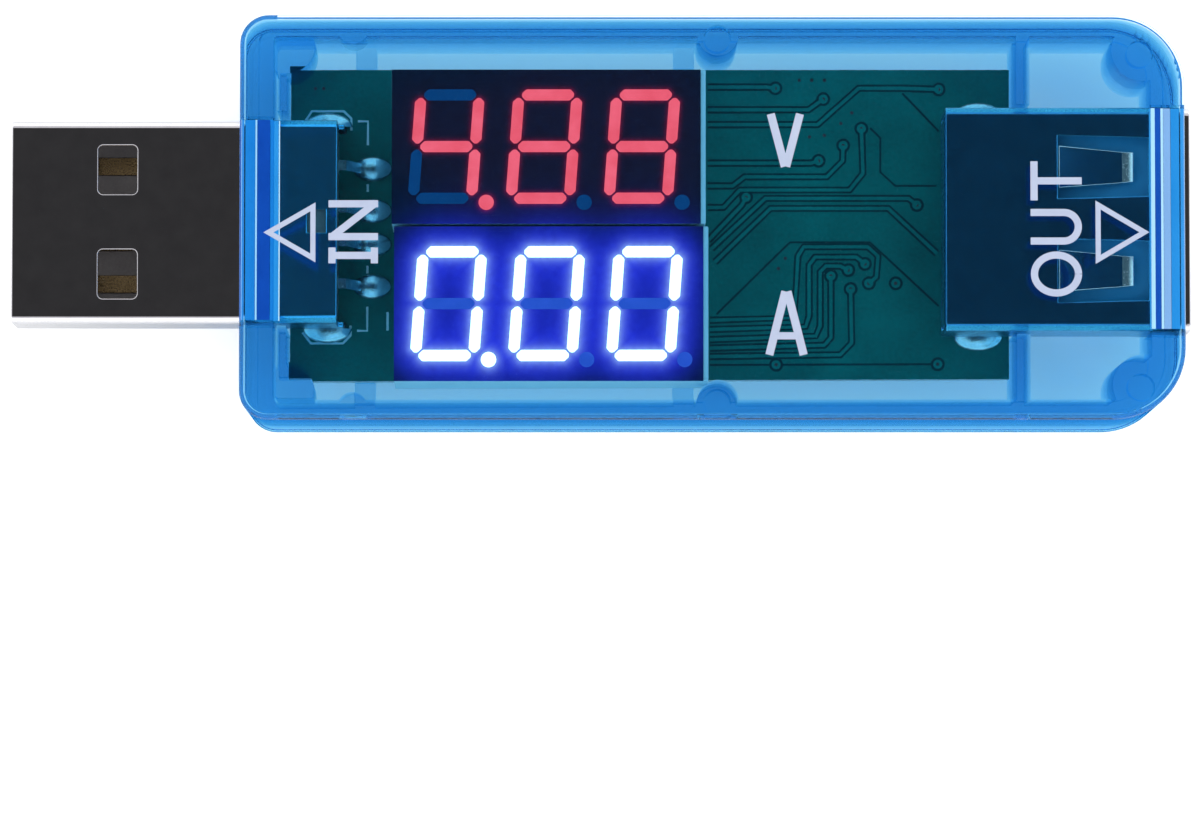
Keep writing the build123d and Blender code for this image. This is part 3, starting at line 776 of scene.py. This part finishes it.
displays = {
    "filmRise": 0.08 * mm, "cell": 0.11 * mm, "segmentRound": 0.06 * mm, "cornerAngle": 22,
    "housingEdge": 0.08 * mm, "sourceStep": 0.15 * mm,
    "blueReach": 0.6 * mm, "blueFill": 0.88, "blue": (0.03, 0.035, 1.0),
    "haloReach": 0.2 * mm, "halo": (0.4, 0.46, 0.3),
    "redReach": 0.8 * mm, "red": (0.009, 0.0, 0.001), "rimReach": 0.08 * mm, "rim": (0.3, 0.0, 0.02),
}


def lightSources(node):
    # points along the outlines of the lit segments' tops, and the length that each stands for in millimetres
    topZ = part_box(node)[1].z
    mesh = nodes[node].data
    outline = {}
    for face in mesh.polygons:
        if face.normal.z > 0.9 and abs(face.center.z - topZ) < 0.01 * mm:
            corners = [tuple(round(value, 7) for value in mesh.vertices[i].co.xy) for i in face.vertices]
            for first, second in zip(corners, corners[1:] + corners[:1]):
                edge = tuple(sorted((first, second)))
                outline[edge] = outline.get(edge, 0) + 1
    sources = []
    for (first, second), shared in outline.items():
        if shared > 1:
            continue
        first, second = np.array(first), np.array(second)
        length = np.linalg.norm(second - first)
        count = max(1, math.ceil(length / displays["sourceStep"]))
        for i in range(count):
            sources.append((first + (second - first) * (i + 0.5) / count, length / count / mm))
    return sources


def lightOn(points, node, reach):
    # the light that reaches each point, and its distance to the nearest source
    total = np.zeros(len(points))
    nearest = np.full(len(points), 1.0)
    for source, length in lightSources(node):
        away = np.sqrt(((points - source) ** 2).sum(1))
        total += length * np.exp(-away / reach)
        nearest = np.minimum(nearest, away)
    return total, nearest


def glowFilm(display):
    # the dark face film, with the light of the segments spread in it as a colour per corner
    low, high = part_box(display + "_display_mask")
    size = high - low
    bpy.ops.mesh.primitive_grid_add(
        x_subdivisions=round(size.x / displays["cell"]), y_subdivisions=round(size.y / displays["cell"]), size=1,
        location=((low.x + high.x) / 2, (low.y + high.y) / 2, low.z + displays["filmRise"]),
    )
    film = nameLast(display + "Film")
    film.scale = (size.x, size.y, 1)
    applyPlace(film)
    pickFaces(film, lambda face: True)
    bpy.ops.mesh.extrude_region_move(TRANSFORM_OT_translate={"value": (0, 0, -displays["filmRise"])})
    bpy.ops.mesh.select_all(action="SELECT")
    bpy.ops.mesh.normals_make_consistent(inside=False)
    leaveEdit()
    points = np.empty(len(film.data.vertices) * 3)
    film.data.vertices.foreach_get("co", points)
    points = points.reshape(-1, 3)[:, :2]
    total, nearest = lightOn(points, "current_lit_segments", displays["blueReach"])
    light = (1 - np.exp(-displays["blueFill"] * total))[:, None] * displays["blue"]
    light += np.exp(-nearest / displays["haloReach"])[:, None] * displays["halo"]
    if display == "voltage":
        total, nearest = lightOn(points, "voltage_lit_segments", displays["redReach"])
        light += (1 - np.exp(-total))[:, None] * displays["red"]
        light += np.exp(-nearest / displays["rimReach"])[:, None] * displays["rim"]
    colours = np.ones((len(points), 4))
    colours[:, :3] = light.clip(0, 1)
    layer = film.data.attributes.new("glow", "FLOAT_COLOR", "POINT")
    layer.data.foreach_set("color", colours.ravel())
    return film


def filmMaterial():
    material, tree, shader = startMaterial("displayFilm")
    mottle = noise(tree, objectCoordinates(tree), 2500, 5, 0.6)
    base = ramp(tree, mottle, [(0.3, (0.0, 0.005, 0.018)), (0.7, (0.001, 0.01, 0.03))])
    tree.links.new(base, shader.inputs["Base Color"])
    shine = ramp(tree, mottle, [(0.3, (0.12,) * 3), (0.7, (0.2,) * 3)])
    tree.links.new(shine, shader.inputs["Roughness"])
    glow = tree.nodes.new("ShaderNodeAttribute")
    glow.attribute_name = "glow"
    shade = ramp(tree, mottle, [(0.25, (0.82,) * 3), (0.75, (1.0,) * 3)])
    uneven = tree.nodes.new("ShaderNodeMix")
    uneven.data_type = "RGBA"
    uneven.blend_type = "MULTIPLY"
    uneven.inputs["Factor"].default_value = 1
    tree.links.new(glow.outputs["Color"], uneven.inputs["A"])
    tree.links.new(shade, uneven.inputs["B"])
    tree.links.new(uneven.outputs["Result"], shader.inputs["Emission Color"])
    shader.inputs["Emission Strength"].default_value = 1
    bump(tree, shader, mottle, 0.1, 0.002 * mm)
    return material


def glowMaterial(name, dim, bright, strength, body):
    material, tree, shader = startMaterial(name)
    cloud = noise(tree, objectCoordinates(tree), 900, 2)
    tree.links.new(ramp(tree, cloud, [(0.3, body), (0.7, [c * 1.2 for c in body])]), shader.inputs["Base Color"])
    shader.inputs["Roughness"].default_value = 0.35
    tree.links.new(ramp(tree, cloud, [(0.3, dim), (0.7, bright)]), shader.inputs["Emission Color"])
    shader.inputs["Emission Strength"].default_value = strength
    return material


def roundedSegments(node, name, material, slotName):
    # the segments with the upright corners of each rounded, as their moulded pockets are
    piece = copyNode(node, name)
    editPiece(piece, "EDGE")
    mesh = bmesh.from_edit_mesh(piece.data)
    for edge in mesh.edges:
        along = (edge.verts[0].co - edge.verts[1].co).normalized()
        edge.select = abs(along.z) > 0.99 and edge.calc_face_angle(0) > math.radians(displays["cornerAngle"])
    bmesh.update_edit_mesh(piece.data)
    bpy.ops.mesh.bevel(offset=displays["segmentRound"], segments=3, affect="EDGES", clamp_overlap=True)
    leaveEdit()
    shadeSmooth(piece)
    setMaterial(piece, material)
    return finishPiece(piece, "meter", slotName, node)


displayFilm = filmMaterial()
housingGrey = grainMaterial("housingGrey", (0.62, 0.64, 0.66), (0.74, 0.76, 0.78), (0.4, 0.6), 7000)
litRed = glowMaterial("litRed", (0.92, 0.06, 0.09), (1.0, 0.09, 0.13), 1.45, (0.3, 0.03, 0.03))
litBlue = glowMaterial("litBlue", (0.85, 0.9, 1.0), (0.95, 0.97, 1.0), 2.2, (0.6, 0.6, 0.8))
darkSegment = grainMaterial("darkSegment", (0.002, 0.06, 0.17), (0.006, 0.085, 0.22), (0.15, 0.25), 9000)
# painted glow: the unlit segments of the blue display glow with light from the lit ones
hazySegment = glowMaterial("hazySegment", (0.02, 0.06, 0.5), (0.03, 0.07, 0.56), 1.0, (0.01, 0.04, 0.12))

for display in ("voltage", "current"):
    film = glowFilm(display)
    setMaterial(film, displayFilm)
    finishPiece(film, "meter", "display_black", display + "_display_mask")
    housing = copyNode(display + "_display_housing", display + "Housing")
    softenEdges(housing, displays["housingEdge"])
    setMaterial(housing, housingGrey)
    finishPiece(housing, "meter", "display_grey", display + "_display_housing")
roundedSegments("voltage_lit_segments", "voltageLit", litRed, "lit_red")
roundedSegments("current_lit_segments", "currentLit", litBlue, "lit_blue")
roundedSegments("voltage_dark_segments", "voltageDark", darkSegment, "dark_segment")
roundedSegments("current_dark_segments", "currentDark", hazySegment, "dark_segment")
print("displays done")


# moulded blocks, contacts, solder and chips

insulatorWhite = grainMaterial("insulatorWhite", (0.62, 0.63, 0.66), (0.75, 0.76, 0.78), (0.4, 0.6), 8000)
insulatorGrey = grainMaterial("insulatorGrey", (0.1, 0.095, 0.1), (0.17, 0.16, 0.165), (0.4, 0.6), 8000)
contactGold = grainMaterial("contactGold", (0.26, 0.18, 0.09), (0.42, 0.3, 0.16), (0.22, 0.36), 9000, 1.0)
chipBlack = grainMaterial("chipBlack", (0.02, 0.02, 0.022), (0.04, 0.04, 0.042), (0.5, 0.7), 12000)
resistorBlack = grainMaterial("resistorBlack", (0.02, 0.02, 0.025), (0.05, 0.05, 0.055), (0.3, 0.5), 12000)
capacitorTan = grainMaterial("capacitorTan", (0.4, 0.28, 0.18), (0.55, 0.4, 0.26), (0.4, 0.6), 12000)
# painted light: the part of the port's tongue deep inside the case is painted blue for the light that reaches it
# through the plastic
insulatorInside = grainMaterial("insulatorInside", (0.03, 0.27, 0.5), (0.06, 0.36, 0.62), (0.4, 0.6), 8000)
small = {
    "blockEdge": 0.06 * mm, "chipEdge": 0.03 * mm, "chipBody": 0.05 * mm, "capShare": 0.2, "capProud": 0.03 * mm,
    "mouthDepth": 1.95 * mm,
}

for node, name, material, slotName in (
    ("plug_insulator", "plugTongue", insulatorGrey, "grey_insulator"),
    ("port_insulator", "portTongue", insulatorWhite, "white_insulator"),
):
    piece = copyNode(node, name)
    softenEdges(piece, small["blockEdge"])
    inside = highFront.x - small["mouthDepth"]
    if node == "port_insulator":
        splitAt(piece, inside)
    setMaterial(piece, material, insulatorInside)
    # painted blue light on the tongue inside the case
    paintFaces(piece, 1, lambda face: node == "port_insulator" and face.center.x < inside)
    finishPiece(piece, "meter", slotName, node)


def chipPiece(node, name, legs):
    # a moulded package: its legs tinned, its body black with softened edges
    low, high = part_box(node)
    piece = copyNode(node, name)
    softenEdges(piece, small["chipEdge"])
    setMaterial(piece, chipBlack, tinned)
    middle = (low.y + high.y) / 2
    bodyHalf = (high.y - low.y) / 2 - legs
    paintFaces(piece, 1, lambda face: abs(face.center.y - middle) > bodyHalf + small["chipBody"])
    return finishPiece(piece, "meter", "chip_black", node)


chipPiece("controller_chip", "controllerChip", legs=0.55 * mm)
chipPiece("amplifier_chip", "amplifierChip", legs=0.9 * mm)
chipPiece("voltage_regulator", "voltageRegulator", legs=0.6 * mm)


def looseBoxes(node):
    # the box of every separate solid in a node whose solids are plain blocks
    mesh = bmesh.new()
    mesh.from_mesh(nodes[node].data)
    bmesh.ops.remove_doubles(mesh, verts=mesh.verts, dist=mergeGap)
    boxes, seen = [], set()
    for vertex in mesh.verts:
        if vertex in seen:
            continue
        group, todo = [], [vertex]
        seen.add(vertex)
        while todo:
            here = todo.pop()
            group.append(here.co.copy())
            for edge in here.link_edges:
                other = edge.other_vert(here)
                if other not in seen:
                    seen.add(other)
                    todo.append(other)
        boxes.append([Vector([pick(p[i] for p in group) for i in range(3)]) for pick in (min, max)])
    mesh.free()
    return boxes


def cappedBlock(low, high, body):
    # a block with a tinned cap on each end of its longer side
    size = high - low
    bpy.ops.mesh.primitive_cube_add(size=1, location=(low + high) / 2)
    block = bpy.context.object
    block.scale = size
    applyPlace(block)
    axis = 0 if size.x > size.y else 1
    normal = Vector((1, 0, 0)) if axis == 0 else Vector((0, 1, 0))
    cap = size[axis] * small["capShare"]
    for edge in (low[axis] + cap, high[axis] - cap):
        pickFaces(block, lambda face: True)
        bpy.ops.mesh.bisect(plane_co=normal * edge, plane_no=normal)
        leaveEdit()
    middle = (low[axis] + high[axis]) / 2
    inCap = (high[axis] - low[axis]) / 2 - cap
    pickFaces(block, lambda face: abs(face.center[axis] - middle) < inCap and abs(face.normal[axis]) < 0.5)
    bpy.ops.mesh.inset(thickness=small["capProud"], depth=-small["capProud"], use_boundary=True)
    leaveEdit()
    softenEdges(block, small["capProud"])
    setMaterial(block, body, tinned)
    paintFaces(block, 1, lambda face: abs(face.center[axis] - middle) > inCap - small["capProud"] / 2)
    return block


for node, name, body, slotName in (
    ("shunt_resistor", "shuntResistor", resistorBlack, "resistor_black"),
    ("chip_resistors", "chipResistors", resistorBlack, "resistor_black"),
    ("chip_capacitors", "chipCapacitors", capacitorTan, "capacitor_tan"),
):
    blocks = [cappedBlock(low, high, body) for low, high in looseBoxes(node)]
    finishPiece(joinPieces(blocks, name), "meter", slotName, node)

plugContacts = copyNode("plug_contacts", "plugContacts")
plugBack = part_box("plug_insulator")[1].x
splitAt(plugContacts, plugBack)
setMaterial(plugContacts, contactGold, tinned)
paintFaces(plugContacts, 1, lambda face: face.center.x > plugBack)
finishPiece(plugContacts, "meter", "contact_brass", "plug_contacts")

for node, material in {
    "voltage_display_pins": tinned, "current_display_pins": tinned, "port_contacts": contactGold,
    "lead_solder": tinned, "leg_solder": tinned, "pin_solder": tinned,
}.items():
    setMaterial(nodes[node], material)
print("small pieces done")


# floor, light, camera

studio = {
    "floorSize": 3.0, "floorLift": 0.55, "liftThroughCase": 0.75,
    "skyStrength": 1.5, "overhead": 0.045, "overheadFrom": 0.95, "skyUpTo": 0.86, "bounces": 24,
    "tilt": 4.0, "distance": 400 * mm, "frameWidth": 71.15 * mm, "aimDown": 11.45 * mm, "aimHeight": 6 * mm,
    "sensor": 36,
}
bpy.ops.mesh.primitive_plane_add(size=studio["floorSize"], location=(0, 0, 0))
floor = nameLast("floor")


def paleFloor():
    # a pale floor that looks lit from below, so that its shadows stay faint
    material = grainMaterial("paleFloor", (0.84, 0.84, 0.84), (0.88, 0.88, 0.88), (0.7, 0.9), 60, 0, 0.02 * mm)
    tree = material.node_tree
    shader = tree.nodes["Principled BSDF"]
    shader.inputs["Emission Color"].default_value = (1, 1, 1, 1)
    path = tree.nodes.new("ShaderNodeLightPath")
    seen = tree.nodes.new("ShaderNodeMath")
    seen.operation = "MAXIMUM"
    tree.links.new(path.outputs["Is Camera Ray"], seen.inputs[0])
    through = tree.nodes.new("ShaderNodeMath")
    through.operation = "MULTIPLY"
    through.inputs[1].default_value = studio["liftThroughCase"]
    tree.links.new(path.outputs["Is Transmission Ray"], through.inputs[0])
    tree.links.new(through.outputs[0], seen.inputs[1])
    lift = tree.nodes.new("ShaderNodeMath")
    lift.operation = "MULTIPLY"
    lift.inputs[1].default_value = studio["floorLift"]
    tree.links.new(seen.outputs[0], lift.inputs[0])
    tree.links.new(lift.outputs[0], shader.inputs["Emission Strength"])
    return material


setMaterial(floor, paleFloor())

world = bpy.data.worlds.new("softStudio")
bpy.context.scene.world = world
world.use_nodes = True
sky = world.node_tree
skyPlace = sky.nodes.new("ShaderNodeTexCoord")
skySplit = sky.nodes.new("ShaderNodeSeparateXYZ")
sky.links.new(skyPlace.outputs["Generated"], skySplit.inputs[0])
skyColour = ramp(
    sky, skySplit.outputs["Z"],
    [(0.0, (1, 1, 1)), (studio["skyUpTo"], (1, 1, 1)), (studio["overheadFrom"], (studio["overhead"],) * 3)],
)
sky.links.new(skyColour, sky.nodes["Background"].inputs["Color"])
sky.nodes["Background"].inputs["Strength"].default_value = studio["skyStrength"]

cycles = bpy.context.scene.cycles
cycles.max_bounces = studio["bounces"]
cycles.transmission_bounces = studio["bounces"]
cycles.transparent_max_bounces = studio["bounces"]

tilt = math.radians(studio["tilt"])
aim = Vector((0, -studio["aimDown"], studio["aimHeight"]))
cameraData = bpy.data.cameras.new("camera")
camera = bpy.data.objects.new("camera", cameraData)
bpy.context.scene.collection.objects.link(camera)
camera.location = aim + studio["distance"] * Vector((0, -math.sin(tilt), math.cos(tilt)))
camera.rotation_euler = (tilt, 0, 0)
cameraData.sensor_width = studio["sensor"]
cameraData.lens = studio["sensor"] * studio["distance"] / studio["frameWidth"]
cameraData.clip_start = 0.01
bpy.context.scene.camera = camera
bpy.context.scene.view_settings.view_transform = "Standard"
print("studio done")
